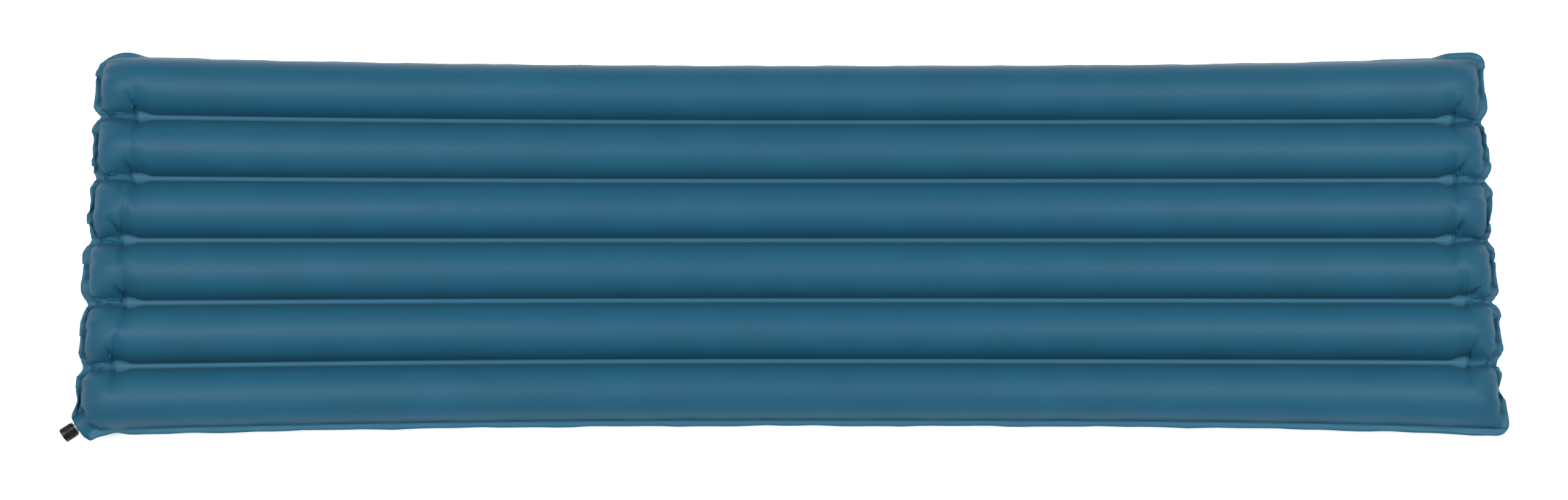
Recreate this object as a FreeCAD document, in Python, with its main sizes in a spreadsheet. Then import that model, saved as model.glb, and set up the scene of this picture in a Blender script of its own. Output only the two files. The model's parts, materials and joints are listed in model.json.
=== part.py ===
import FreeCAD, Part
import math
import os
import Sketcher

# An air mattress of six lengthwise tubes, in millimetres. Two coated fabric sheets are welded face
# to face round the edge and along five seams, and a twist valve leaves one corner between them.
# The origin is on the floor under the middle of the mattress. +X runs along the tubes and +Z is up.
# The valve is drawn along its own +X, from the cut edge of the corner outwards.

doc = FreeCAD.newDocument("air_mattress")
sheet = doc.addObject("Spreadsheet::Sheet", "dims")

SIZES = [
    # the whole mattress, flat edge to flat edge
    ("length", 1910),
    ("end_flare", 15),          # how much wider each side is at the ends than at mid length
    ("corner_radius", 24),
    ("edge_weld", 8),           # flat welded edge outside the air space
    ("sheet_thick", 0.6),
    # the tubes
    ("tube_count", 6),
    ("seam_pitch", 83),
    ("seam_weld", 7),           # width of the welded strip between two tubes
    ("tube_rise", 35),          # from the weld plane to the top or bottom of a tube
    ("rest_width", 9),          # flat strip under each tube, where it lies on the floor
    # the cross channel at each end, where the seams stop and the tubes share their air
    ("channel_width", 48),
    ("channel_rise", 21),
    # the valve's foot, between the sheets; depths run inwards from the cut edge of the corner
    ("valve_angle", 214.6),     # the valve's direction, seen from above
    ("valve_cut", 33),          # length of the cut edge across the corner
    ("boat_width", 29),         # lens-shaped foot that the sheets are welded to
    ("boat_cover", 0.6),        # wall of the foot over the round tube through it
    ("boat_depth", 25),
    ("sleeve_depth", 36),       # how far in the sheets stay open round the foot
    ("spout_wall", 1.6),        # round tube through the foot
    ("spout_inner", 31),
    ("spout_outer", 2.4),       # its length outside the cut edge
    # the hard stem, pushed into the foot
    ("tail_radius", 4.6),
    ("tail_inner", 20),
    ("barb_rise", 0.5),
    ("barb_length", 3),
    ("air_bore", 3.4),          # radius of the air way
    ("collar_step", 1.2),       # how much smaller the collar is than the knob
    ("collar_thick", 1.4),
    ("nose_radius", 6.5),       # plain front of the stem, inside the knob
    ("nose_lip", 0.7),          # wall in front of the sealing ring's groove
    ("ring_wire", 0.825),       # radius of the sealing ring's own section
    ("ring_groove", 1.8),
    ("ring_proud", 0.35),       # how far the ring stands out of the nose
    # the coarse thread that carries the knob
    ("thread_step", 0.3),       # how much larger the threaded part is than the nose
    ("thread_rise", 1.2),
    ("thread_foot", 1.9),       # axial width of the ridge at its foot
    ("thread_crest", 1.1),
    ("thread_run", 3.0),        # axial length of the ridge
    ("thread_lead", 4.0),       # outward travel in one turn
    ("thread_play", 0.4),       # between a ridge and the wall that it faces
    ("knob_turn", 300),         # degrees from closed to open
    # the insert in the stem's mouth, with the plug
    ("spider_step", 1.0),       # how much larger the insert is than the air way
    ("spider_wall", 0.9),
    ("spider_depth", 3.4),
    ("spider_leg", 1.3),
    ("pin_radius", 1.8),
    ("plug_radius", 2.55),
    ("plug_length", 4.6),
    ("plug_recess", 0.8),       # from the knob's end to the plug's, when closed
    # the knob
    ("knob_wall", 1.4),         # wall of the barrel outside the thread's bore
    ("knob_gap", 0.4),          # between the knob's skirt and the collar
    ("seal_fit", 0.05),         # radial play of a sealing ring on what slides past it
    ("roof_gap", 2.2),          # between the stem's nose and the knob's roof
    ("roof_thick", 3.8),
    ("seat_wall", 1.8),         # rubber seat in the roof, which closes on the plug
    ("seat_thick", 2.0),
    ("mouth_gap", 0.65),        # between the plug and the mouth of the knob
    ("lip_step", 0.2),          # how much larger the plain lip is than the ribbed barrel
    ("rib_count", 24),
    ("rib_cut", 0.75),          # radius of each groove between two grip ribs
    ("rib_margin", 2.2),        # plain skirt edge before the ribs
    ("lip_length", 5.5),        # plain lip beyond the ribs, which a pump's sleeve goes over
]

for row, (alias, size) in enumerate(SIZES, start=1):
    sheet.set("A%d" % row, alias)
    sheet.set("B%d" % row, str(size))
    sheet.setAlias("B%d" % row, alias)
doc.recompute()

# ---------------------------------------------------------------- sizes worked out from the sheet
THICK = "dims.sheet_thick"
ARCH = "((dims.seam_pitch - dims.seam_weld) / 2)"
CHANNEL = "(dims.channel_width / 2)"
HALF_LENGTH = "(dims.length / 2)"
TUBE_SPAN = "((dims.tube_count - 1) * dims.seam_pitch)"
HALF_MIDDLE = "(%s / 2 + %s + dims.edge_weld)" % (TUBE_SPAN, ARCH)
HALF_END = "(%s + dims.end_flare)" % HALF_MIDDLE
TUBE_STRAIGHT = "(dims.length / 2 - dims.edge_weld - %s)" % ARCH
CHANNEL_PLACE = "(dims.length / 2 - dims.edge_weld - %s)" % CHANNEL
CHANNEL_STRAIGHT = "(%s - dims.edge_weld - %s)" % (HALF_END, CHANNEL)

COS = "cos(dims.valve_angle * 1 deg)"
SIN = "sin(dims.valve_angle * 1 deg)"
# The cut edge runs across the corner, and its middle is where the valve's axis leaves.
VALVE_X = "(-dims.length / 2 - dims.valve_cut / 2 * %s)" % SIN
VALVE_Y = "(-%s - dims.valve_cut / 2 * %s)" % (HALF_END, COS)

# Along the valve's axis, each piece starts from the one behind it.
SPOUT_END = "dims.spout_outer"
SPOUT_RADIUS = "(dims.tail_radius + dims.spout_wall)"
BOAT_RISE = "(%s + dims.boat_cover)" % SPOUT_RADIUS
COLLAR_END = "(%s + dims.collar_thick)" % SPOUT_END
SKIRT_START = "(%s + dims.knob_gap)" % COLLAR_END
THREAD_CORE = "(dims.nose_radius + dims.thread_step)"
THREAD_START = "(%s + dims.thread_foot / 2 + dims.thread_play / 2)" % SKIRT_START
THREAD_END = "(%s + dims.thread_run + dims.thread_foot / 2)" % THREAD_START
SKIRT_BORE = "(%s + dims.thread_rise + dims.thread_play)" % THREAD_CORE
SKIRT_END = "(%s + dims.thread_play)" % THREAD_END
BARREL_RADIUS = "(%s + dims.knob_wall)" % SKIRT_BORE
KNOB_RADIUS = "(%s + dims.lip_step)" % BARREL_RADIUS
COLLAR_RADIUS = "(%s - dims.collar_step)" % KNOB_RADIUS
TRAVEL = "(dims.thread_lead * dims.knob_turn / 360)"
RING_PLACE = "(%s + %s + dims.ring_groove / 2 + dims.seal_fit)" % (SKIRT_END, TRAVEL)
RING_RADIUS = "(dims.nose_radius + dims.ring_proud - dims.ring_wire)"
SEAL_BORE = "(dims.nose_radius + dims.ring_proud + dims.seal_fit)"
NOSE_END = "(%s + dims.ring_groove / 2 + dims.nose_lip)" % RING_PLACE
ROOF_START = "(%s + dims.roof_gap)" % NOSE_END
KNOB_END = "(%s + dims.roof_thick)" % ROOF_START
SPIDER_RADIUS = "(dims.air_bore + dims.spider_step)"
SPIDER_START = "(%s - dims.spider_depth)" % NOSE_END
PLUG_END = "(%s - dims.plug_recess)" % KNOB_END
SEAT_BORE = "(dims.plug_radius + dims.seal_fit)"
SEAT_RADIUS = "(%s + dims.seat_wall)" % SEAT_BORE
SEAT_END = "(%s + dims.seat_thick)" % ROOF_START
MOUTH_RADIUS = "(dims.plug_radius + dims.mouth_gap)"


def drop(half_chord, rise, flat="0"):
    """How far a circle's centre lies past the weld plane, for an arch with this half chord and
    rise whose crown is cut off to a flat strip of this width."""
    return "((%s^2 - (%s / 2)^2 - %s^2) / (2 * %s))" % (half_chord, flat, rise, rise)


def bow(half_chord, centre_drop):
    """Radius of that circle."""
    return "sqrt(%s^2 + %s^2)" % (half_chord, centre_drop)


def value(expression):
    result = sheet.evalExpression(expression)
    return float(getattr(result, "Value", result))


# ---------------------------------------------------------------- sketches and features
def origin_part(body, role):
    return next(item for item in body.Origin.OriginFeatures if item.Role == role)


def new_body(label, place=("0", "0", "0"), turn=None):
    """A body whose placement follows the sheet."""
    body = doc.addObject("PartDesign::Body", label)
    body.Label = label
    if turn:
        body.Placement = FreeCAD.Placement(FreeCAD.Vector(), FreeCAD.Rotation(FreeCAD.Vector(0, 0, 1), 1))
        body.setExpression("Placement.Rotation.Angle", turn)
    for letter, expression in zip("xyz", place):
        body.setExpression("Placement.Base." + letter, expression)
    return body


def new_sketch(body, name, plane, shift=("0", "0", "0"), turn=None):
    """A sketch on one of the body's own planes, shifted and turned about its own vertical."""
    sketch = body.newObject("Sketcher::SketchObject", body.Label + "_" + name)
    sketch.AttachmentSupport = (origin_part(body, plane), [""])
    sketch.MapMode = "FlatFace"
    if turn:
        sketch.AttachmentOffset = FreeCAD.Placement(
            FreeCAD.Vector(), FreeCAD.Rotation(FreeCAD.Vector(0, 1, 0), 1))
        sketch.setExpression("AttachmentOffset.Rotation.Angle", turn)
    for letter, expression in zip("xyz", shift):
        sketch.setExpression("AttachmentOffset.Base." + letter, expression)
    return sketch


def fix(sketch, geo, end, letter, expression):
    """Hold one coordinate of a sketch point at an expression, measured from the origin."""
    size = value(expression)
    if abs(size) < 1e-9:
        sketch.addConstraint(Sketcher.Constraint("PointOnObject", geo, end, -2 if letter == "X" else -1))
    elif size > 0:
        held = sketch.addConstraint(Sketcher.Constraint("Distance" + letter, -1, 1, geo, end, size))
        sketch.setExpression("Constraints[%d]" % held, expression)
    else:
        held = sketch.addConstraint(Sketcher.Constraint("Distance" + letter, geo, end, -1, 1, -size))
        sketch.setExpression("Constraints[%d]" % held, "-(%s)" % expression)


def trace(sketch, corners):
    """Closed outline through corners (x, y), or (x, y, radius, side) where an arc leads to the next
    corner and bulges to the left (side 1) or right (side -1) of the way there."""
    spots = [FreeCAD.Vector(value(corner[0]), value(corner[1]), 0) for corner in corners]
    edges = []
    for here, corner in enumerate(corners):
        start = spots[here]
        end = spots[(here + 1) % len(spots)]
        if len(corner) == 2:
            geo = sketch.addGeometry(Part.LineSegment(start, end))
        else:
            radius = value(corner[2])
            way = end - start
            left = FreeCAD.Vector(-way.y, way.x, 0).normalize() * corner[3]
            sagitta = radius - math.sqrt(max(radius ** 2 - way.Length ** 2 / 4, 0))
            geo = sketch.addGeometry(Part.Arc(start, (start + end) * 0.5 + left * sagitta, end))
        # an arc is always stored anticlockwise, so its first point may be the corner it leads to
        near = (sketch.getPoint(geo, 1) - start).Length
        first = 1 if near < (sketch.getPoint(geo, 2) - start).Length else 2
        edges.append((geo, first, 3 - first))
    for here, corner in enumerate(corners):
        geo, first, last = edges[here]
        before, _, before_last = edges[here - 1]
        sketch.addConstraint(Sketcher.Constraint("Coincident", before, before_last, geo, first))
        fix(sketch, geo, first, "X", corner[0])
        fix(sketch, geo, first, "Y", corner[1])
        if len(corner) > 2:
            held = sketch.addConstraint(Sketcher.Constraint("Radius", geo, value(corner[2])))
            sketch.setExpression("Constraints[%d]" % held, corner[2])


def rectangle(sketch, half_x, half_y):
    """A rectangle centred on the sketch's origin."""
    trace(sketch, [
        ("-" + half_x, "-" + half_y),
        (half_x, "-" + half_y),
        (half_x, half_y),
        ("-" + half_x, half_y),
    ])


def disc(sketch, place, radius):
    """A circle whose centre is this far along the sketch's H axis."""
    geo = sketch.addGeometry(Part.Circle(
        FreeCAD.Vector(value(place), 0, 0), FreeCAD.Vector(0, 0, 1), value(radius)))
    sketch.addConstraint(Sketcher.Constraint("PointOnObject", geo, 3, -1))
    fix(sketch, geo, 3, "X", place)
    held = sketch.addConstraint(Sketcher.Constraint("Radius", geo, value(radius)))
    sketch.setExpression("Constraints[%d]" % held, radius)


def feature(body, kind, name, sketch, reverse=False, **sizes):
    """A feature made from a sketch, with its sizes bound to the sheet. It must change the body."""
    before = body.Shape.Volume if body.Tip else 0
    made = body.newObject("PartDesign::" + kind, body.Label + "_" + name)
    made.Profile = sketch
    made.Reversed = reverse
    for size, expression in sizes.items():
        made.setExpression(size, expression)
    if kind in ("Revolution", "Groove"):
        made.ReferenceAxis = (sketch, ["H_Axis"])
        made.Angle = 360
    doc.recompute()
    if abs(body.Shape.Volume - before) < 1e-6:
        raise RuntimeError(made.Name + " changes nothing")
    return made


def repeat(body, made, axis, span, count):
    """The same feature again along one of the body's own axes."""
    pattern = body.newObject("PartDesign::LinearPattern", made.Name + "_row")
    pattern.Originals = [made]
    pattern.Direction = (origin_part(body, axis), [""])
    pattern.setExpression("Length", span)
    pattern.setExpression("Occurrences", count)
    body.Tip = pattern
    doc.recompute()


def around(body, made, count):
    """The same feature again round the body's own X axis."""
    pattern = body.newObject("PartDesign::PolarPattern", made.Name + "_round")
    pattern.Originals = [made]
    pattern.Axis = (origin_part(body, "X_Axis"), [""])
    pattern.Angle = 360
    pattern.setExpression("Occurrences", count)
    body.Tip = pattern
    doc.recompute()


def capsule(sketch, straight, radius):
    """Half the outline of a round-ended tube, from end to end along the sketch's H axis."""
    tip = "(%s + %s)" % (straight, radius)
    trace(sketch, [
        ("-" + tip, "0", radius, 1),
        ("-" + straight, radius),
        (straight, radius, radius, 1),
        (tip, "0"),
    ])


# ---------------------------------------------------------------- the two sheets
def fabric_sheet(label, up, rest):
    """One sheet, with the weld plane at its own z = 0: up is 1 for the upper sheet and -1 for the
    lower. rest is the width of the flat strip that the crown of each tube is pressed to."""
    side = "1" if up > 0 else "-1"
    tube_drop = drop(ARCH, "dims.tube_rise", rest)
    channel_drop = drop(CHANNEL, "dims.channel_rise")
    tube_radius = bow(ARCH, tube_drop)
    channel_radius = bow(CHANNEL, channel_drop)
    body = new_body(label, place=("0", "0", "dims.tube_rise"))

    # the flat sheet, with the corner that the valve leaves cut off
    corner = "dims.corner_radius"
    reach = "(%s - %s)" % (HALF_LENGTH, corner)
    side_bow = "((%s^2 + dims.end_flare^2) / (2 * dims.end_flare))" % reach
    cut_x = "(-%s - dims.valve_cut * %s)" % (HALF_LENGTH, SIN)
    cut_y = "(-%s - dims.valve_cut * %s)" % (HALF_END, COS)
    cut_reach = "((%s - %s) / 2)" % (reach, cut_x)
    flat = new_sketch(body, "outline", "XY_Plane")
    trace(flat, [
        (cut_x, "-" + HALF_END, side_bow, 1),
        (reach, "-" + HALF_END, corner, -1),
        (HALF_LENGTH, "-(%s - %s)" % (HALF_END, corner)),
        (HALF_LENGTH, "(%s - %s)" % (HALF_END, corner), corner, -1),
        (reach, HALF_END, side_bow, 1),
        ("-" + reach, HALF_END, corner, -1),
        ("-" + HALF_LENGTH, "(%s - %s)" % (HALF_END, corner)),
        ("-" + HALF_LENGTH, cut_y),
    ])
    feature(body, "Pad", "flat", flat, reverse=up < 0, Length=THICK)

    # the outside of the tubes, of the channels across the ends and of the sleeve round the valve
    tube_shift = ("0", "-%s * %s" % (side, tube_drop), "%s / 2" % TUBE_SPAN)
    channel_shift = ("0", "-%s * %s" % (side, channel_drop), "-" + CHANNEL_PLACE)
    tube = new_sketch(body, "tube_outside", "XZ_Plane", tube_shift)
    capsule(tube, TUBE_STRAIGHT, tube_radius)
    made = feature(body, "Revolution", "tube", tube)
    repeat(body, made, "Y_Axis", TUBE_SPAN, "dims.tube_count")
    channel = new_sketch(body, "channel_outside", "YZ_Plane", channel_shift)
    capsule(channel, CHANNEL_STRAIGHT, channel_radius)
    made = feature(body, "Revolution", "channel", channel)
    repeat(body, made, "X_Axis", "2 * " + CHANNEL_PLACE, "2")

    # nothing reaches past the weld plane
    half = new_sketch(body, "weld_plane", "XY_Plane")
    rectangle(half, "dims.length", "dims.length")
    feature(body, "Pocket", "other_half", half, reverse=up < 0, Length="4 * dims.tube_rise")

    boat_drop = drop("(dims.boat_width / 2)", BOAT_RISE)
    boat_radius = bow("(dims.boat_width / 2)", boat_drop)

    def sleeve_section(name, extra):
        """Half lens across the valve's axis, this much larger than the foot that it goes round."""
        radius = "(%s + %s)" % (boat_radius, extra)
        chord = "sqrt(%s^2 - %s^2)" % (radius, boat_drop)
        section = new_sketch(body, name, "YZ_Plane", (VALVE_Y, "0", VALVE_X), "dims.valve_angle")
        trace(section, [("-" + chord, "0", radius, up), (chord, "0")])
        return section

    outside = sleeve_section("sleeve_outside", THICK)
    feature(body, "Pad", "sleeve", outside, reverse=True, Length="dims.boat_depth")

    # the air space, one sheet's thickness inside
    inner = new_sketch(body, "tube_inside", "XZ_Plane", tube_shift)
    capsule(inner, TUBE_STRAIGHT, "(%s - %s)" % (tube_radius, THICK))
    made = feature(body, "Groove", "tube_air", inner)
    repeat(body, made, "Y_Axis", TUBE_SPAN, "dims.tube_count")
    inner = new_sketch(body, "channel_inside", "YZ_Plane", channel_shift)
    capsule(inner, CHANNEL_STRAIGHT, "(%s - %s)" % (channel_radius, THICK))
    made = feature(body, "Groove", "channel_air", inner)
    repeat(body, made, "X_Axis", "2 * " + CHANNEL_PLACE, "2")
    feature(body, "Pocket", "sleeve_air", sleeve_section("sleeve_inside", "0"), Length="dims.sleeve_depth")
    if rest != "0":
        press_flat(body, rest)
    return body


def press_flat(body, width):
    """Wall inside each tube where its crown is pressed flat, then the cut that makes it flat."""
    floor = "dims.tube_rise"
    strip = new_sketch(body, "rest_strip", "XY_Plane", ("0", "-%s / 2" % TUBE_SPAN, THICK + " - " + floor))
    rectangle(strip, TUBE_STRAIGHT, width + " / 2")
    made = feature(body, "Pad", "rest", strip, reverse=True, Length="3 * " + THICK)
    repeat(body, made, "Y_Axis", TUBE_SPAN, "dims.tube_count")
    ground = new_sketch(body, "ground", "XY_Plane", ("0", "0", "-" + floor))
    rectangle(ground, "dims.length", "dims.length")
    feature(body, "Pocket", "floor_cut", ground, Length=floor)


fabric_sheet("top_sheet", 1, "0")
fabric_sheet("bottom_sheet", -1, "dims.rest_width")


# ---------------------------------------------------------------- the valve
def valve_body(label):
    return new_body(label, (VALVE_X, VALVE_Y, "dims.tube_rise"), "dims.valve_angle")


def turned(label, outline):
    """A body of revolution about the valve's axis."""
    body = valve_body(label)
    profile = new_sketch(body, "profile", "XY_Plane")
    trace(profile, outline)
    feature(body, "Revolution", "turned", profile)
    return body


def ridge(body, name, foot, crest, side):
    """One start of a right-handed thread. side puts its start at +Y or -Y, half a turn away."""
    profile = new_sketch(body, name, "XY_Plane")
    sign = "" if side > 0 else "-"
    trace(profile, [
        ("(%s - dims.thread_foot / 2)" % THREAD_START, sign + foot),
        ("(%s + dims.thread_foot / 2)" % THREAD_START, sign + foot),
        ("(%s + dims.thread_crest / 2)" % THREAD_START, sign + crest),
        ("(%s - dims.thread_crest / 2)" % THREAD_START, sign + crest),
    ])
    thread = body.newObject("PartDesign::AdditiveHelix", body.Label + "_" + name + "_helix")
    thread.Profile = profile
    thread.ReferenceAxis = (profile, ["H_Axis"])
    thread.Mode = 0
    thread.setExpression("Pitch", "dims.thread_lead")
    thread.setExpression("Height", "dims.thread_run")
    doc.recompute()


def weld_fitting():
    """Soft translucent foot: a lens-shaped block between the sheets and a round tube through it."""
    body = valve_body("weld_fitting")
    boat_drop = drop("(dims.boat_width / 2)", BOAT_RISE)
    boat_radius = bow("(dims.boat_width / 2)", boat_drop)
    lens = new_sketch(body, "lens", "YZ_Plane")
    trace(lens, [
        ("-dims.boat_width / 2", "0", boat_radius, 1),
        ("dims.boat_width / 2", "0", boat_radius, 1),
    ])
    feature(body, "Pad", "boat", lens, reverse=True, Length="dims.boat_depth")
    tube = new_sketch(body, "spout_section", "YZ_Plane", ("0", "0", SPOUT_END))
    disc(tube, "0", SPOUT_RADIUS)
    feature(body, "Pad", "spout", tube, reverse=True, Length="%s + dims.spout_inner" % SPOUT_END)
    hole = new_sketch(body, "bore_section", "YZ_Plane", ("0", "0", SPOUT_END))
    disc(hole, "0", "dims.tail_radius")
    feature(body, "Pocket", "bore", hole, Length="%s + dims.spout_inner" % SPOUT_END)


def valve_stem():
    """Hard stem pushed into the foot, with a collar, a coarse thread and a grooved nose."""
    tail = "-dims.tail_inner"
    groove_start = "(%s - dims.ring_groove / 2)" % RING_PLACE
    groove_end = "(%s + dims.ring_groove / 2)" % RING_PLACE
    groove_floor = "(%s - dims.ring_wire)" % RING_RADIUS
    body = turned("valve_stem", [
        (tail, "dims.air_bore"),
        (tail, "(dims.tail_radius - dims.barb_rise)"),
        ("(%s + dims.barb_length)" % tail, "dims.tail_radius"),
        (SPOUT_END, "dims.tail_radius"),
        (SPOUT_END, COLLAR_RADIUS),
        (COLLAR_END, COLLAR_RADIUS),
        (COLLAR_END, THREAD_CORE),
        (THREAD_END, THREAD_CORE),
        (THREAD_END, "dims.nose_radius"),
        (groove_start, "dims.nose_radius"),
        (groove_start, groove_floor),
        (groove_end, groove_floor),
        (groove_end, "dims.nose_radius"),
        (NOSE_END, "dims.nose_radius"),
        (NOSE_END, SPIDER_RADIUS),
        (SPIDER_START, SPIDER_RADIUS),
        (SPIDER_START, "dims.air_bore"),
    ])
    ridge(body, "ridge", "(%s - dims.thread_play / 2)" % THREAD_CORE,
          "(%s + dims.thread_rise)" % THREAD_CORE, 1)


def valve_plug():
    """Insert in the stem's mouth: a ring with three legs that carry the plug on the axis."""
    plug_start = "(%s - dims.plug_length)" % PLUG_END
    blunt = "(dims.plug_radius / 6)"
    rim_middle = "(%s - dims.spider_wall / 2)" % SPIDER_RADIUS
    body = turned("valve_plug", [
        (SPIDER_START, "0"),
        (SPIDER_START, "dims.pin_radius"),
        (plug_start, "dims.pin_radius"),
        (plug_start, "dims.plug_radius"),
        ("(%s - %s)" % (PLUG_END, blunt), "dims.plug_radius"),
        (PLUG_END, "(dims.plug_radius - %s)" % blunt),
        (PLUG_END, "0"),
    ])
    leg = new_sketch(body, "leg_section", "YZ_Plane", ("0", "0", SPIDER_START))
    trace(leg, [
        ("dims.pin_radius / 2", "-dims.spider_leg / 2"),
        (rim_middle, "-dims.spider_leg / 2"),
        (rim_middle, "dims.spider_leg / 2"),
        ("dims.pin_radius / 2", "dims.spider_leg / 2"),
    ])
    made = feature(body, "Pad", "leg", leg, Length="dims.spider_depth")
    around(body, made, "3")
    rim = new_sketch(body, "rim_section", "YZ_Plane", ("0", "0", SPIDER_START))
    disc(rim, "0", SPIDER_RADIUS)
    disc(rim, "0", "(%s - dims.spider_wall)" % SPIDER_RADIUS)
    feature(body, "Pad", "rim", rim, Length="dims.spider_depth")


def valve_knob():
    """Knob that screws along the stem. Its roof carries the rubber seat round the mouth."""
    pocket_radius = "(%s + dims.seal_fit)" % SEAT_RADIUS
    pocket_end = "(%s + dims.seal_fit)" % SEAT_END
    edge = "(%s / 10)" % KNOB_RADIUS
    lip_start = "(%s - dims.lip_length)" % KNOB_END
    body = turned("valve_knob", [
        (SKIRT_START, SKIRT_BORE),
        (SKIRT_END, SKIRT_BORE),
        (SKIRT_END, SEAL_BORE),
        (ROOF_START, SEAL_BORE),
        (ROOF_START, pocket_radius),
        (pocket_end, pocket_radius),
        (pocket_end, MOUTH_RADIUS),
        ("(%s - %s / 2)" % (KNOB_END, edge), MOUTH_RADIUS),
        (KNOB_END, "(%s + %s / 2)" % (MOUTH_RADIUS, edge)),
        (KNOB_END, "(%s - %s)" % (KNOB_RADIUS, edge)),
        ("(%s - %s)" % (KNOB_END, edge), KNOB_RADIUS),
        (lip_start, KNOB_RADIUS),
        (lip_start, BARREL_RADIUS),
        ("(%s + %s / 2)" % (SKIRT_START, edge), BARREL_RADIUS),
        (SKIRT_START, "(%s - %s / 2)" % (BARREL_RADIUS, edge)),
    ])
    ridge(body, "ridge", "(%s + dims.thread_play / 2)" % SKIRT_BORE,
          "(%s + dims.thread_play)" % THREAD_CORE, -1)
    start = "(%s + dims.rib_margin)" % SKIRT_START
    cut = new_sketch(body, "rib_section", "YZ_Plane", ("0", "0", start))
    disc(cut, BARREL_RADIUS, "dims.rib_cut")
    made = feature(body, "Pocket", "rib_groove", cut, reverse=True,
                   Length="%s - %s" % (lip_start, start))
    around(body, made, "dims.rib_count")


def seat_ring():
    """Flat rubber seat in the knob's roof."""
    turned("seat_ring", [
        (ROOF_START, SEAT_BORE),
        (SEAT_END, SEAT_BORE),
        (SEAT_END, SEAT_RADIUS),
        (ROOF_START, SEAT_RADIUS),
    ])


def stem_ring():
    """Round sealing ring in the stem's groove."""
    turned("stem_ring", [
        ("(%s - dims.ring_wire)" % RING_PLACE, RING_RADIUS, "dims.ring_wire", 1),
        ("(%s + dims.ring_wire)" % RING_PLACE, RING_RADIUS, "dims.ring_wire", 1),
    ])


weld_fitting()
valve_stem()
valve_plug()
valve_knob()
stem_ring()
seat_ring()

# ---------------------------------------------------------------- checks and files
NODES = ("top_sheet", "bottom_sheet", "weld_fitting", "valve_stem", "valve_plug", "stem_ring",
         "valve_knob", "seat_ring")

for item in doc.Objects:
    if {"Invalid", "Error"} & set(item.State):
        raise RuntimeError("%s did not compute: %s" % (item.Name, item.State))
bodies = {name: doc.getObjectsByLabel(name)[0] for name in NODES}
for name, body in bodies.items():
    if body.Shape.isNull() or not body.Shape.isValid() or len(body.Shape.Solids) != 1:
        raise RuntimeError(name + " is not one valid solid")

os.makedirs("parts", exist_ok=True)
for name, body in bodies.items():
    body.Shape.exportStep("parts/%s.step" % name)
    box = body.Shape.optimalBoundingBox()
    print("%-14s %9.1f mm3  x %.1f..%.1f  y %.1f..%.1f  z %.1f..%.1f" % (
        name, body.Shape.Volume, box.XMin, box.XMax, box.YMin, box.YMax, box.ZMin, box.ZMax))
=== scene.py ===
# %% [markdown]
# # An inflatable sleeping mat
# The mat is two sheets of coated fabric welded to each other round the edge and along five seams,
# and blown up through a twist valve at one corner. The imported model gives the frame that
# everything here is placed in, so it is loaded first.

# %% Load the frame
import json
import math

import bpy
import numpy as np
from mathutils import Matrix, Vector


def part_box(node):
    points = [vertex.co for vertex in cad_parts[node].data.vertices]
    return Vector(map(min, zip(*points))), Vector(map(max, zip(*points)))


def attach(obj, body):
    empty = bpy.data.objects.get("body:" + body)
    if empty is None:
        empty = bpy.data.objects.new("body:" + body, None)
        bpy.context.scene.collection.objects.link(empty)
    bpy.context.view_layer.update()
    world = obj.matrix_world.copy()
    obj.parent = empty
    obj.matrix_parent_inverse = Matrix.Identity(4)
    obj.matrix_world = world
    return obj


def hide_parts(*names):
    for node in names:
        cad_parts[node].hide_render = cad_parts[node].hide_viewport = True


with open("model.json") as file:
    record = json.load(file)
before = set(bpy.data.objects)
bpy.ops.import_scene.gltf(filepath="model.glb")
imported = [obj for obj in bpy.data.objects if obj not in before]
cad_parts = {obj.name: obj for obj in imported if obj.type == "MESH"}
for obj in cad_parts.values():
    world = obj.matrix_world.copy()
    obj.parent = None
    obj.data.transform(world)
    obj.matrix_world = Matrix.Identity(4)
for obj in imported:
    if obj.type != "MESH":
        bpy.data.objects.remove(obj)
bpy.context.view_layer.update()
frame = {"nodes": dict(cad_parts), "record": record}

# %% [markdown]
# ## Sizes
# The height of the weld plane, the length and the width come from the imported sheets. The seam
# pitch and the weld widths are the design's own, and the arch of a tube follows from them: an arc
# over the chord between two welds. The fabric is cut flat, so what matters to the cloth is the
# length of that arc.

# %% Sizes
MM = 0.001
SHEET_LOW, SHEET_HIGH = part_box("top_sheet")
WELD_Z = SHEET_LOW[2]
HALF_LENGTH = SHEET_HIGH[0]
HALF_WIDTH = SHEET_HIGH[1]
FABRIC = 0.6 * MM
TUBES = 6
PITCH = 83 * MM
SEAM = 7 * MM
FLANGE = 8 * MM
END_FLANGE = 12 * MM
FLARE = 15 * MM
HALF_MIDDLE = HALF_WIDTH - FLARE

CHORD = PITCH - SEAM
RISE = SHEET_HIGH[2] - WELD_Z - FABRIC
DROP = ((CHORD / 2) ** 2 - RISE ** 2) / (2 * RISE)
ARCH = math.hypot(CHORD / 2, DROP)
ARCH_ANGLE = math.asin(CHORD / 2 / ARCH)
CUT = 2 * ARCH * ARCH_ANGLE
FLAT_WIDTH = TUBES * CUT + (TUBES - 1) * SEAM + 2 * FLANGE
FLAT_HALF = HALF_LENGTH + 13 * MM
print("one tube: chord %.1f mm, cut %.1f mm" % (CHORD / MM, CUT / MM))
print("flat cut: %.3f x %.3f m" % (FLAT_WIDTH, 2 * FLAT_HALF))

# %% [markdown]
# ## The valve's corner
# The sheets open as a lens round the valve's soft foot and are cut off square to its axis. The
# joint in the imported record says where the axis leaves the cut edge, so the cloth can be held
# exactly where the foot is. The simulation works on an end that points along +X, so the valve's
# place is mirrored here and the finished end is mirrored back.

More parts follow.
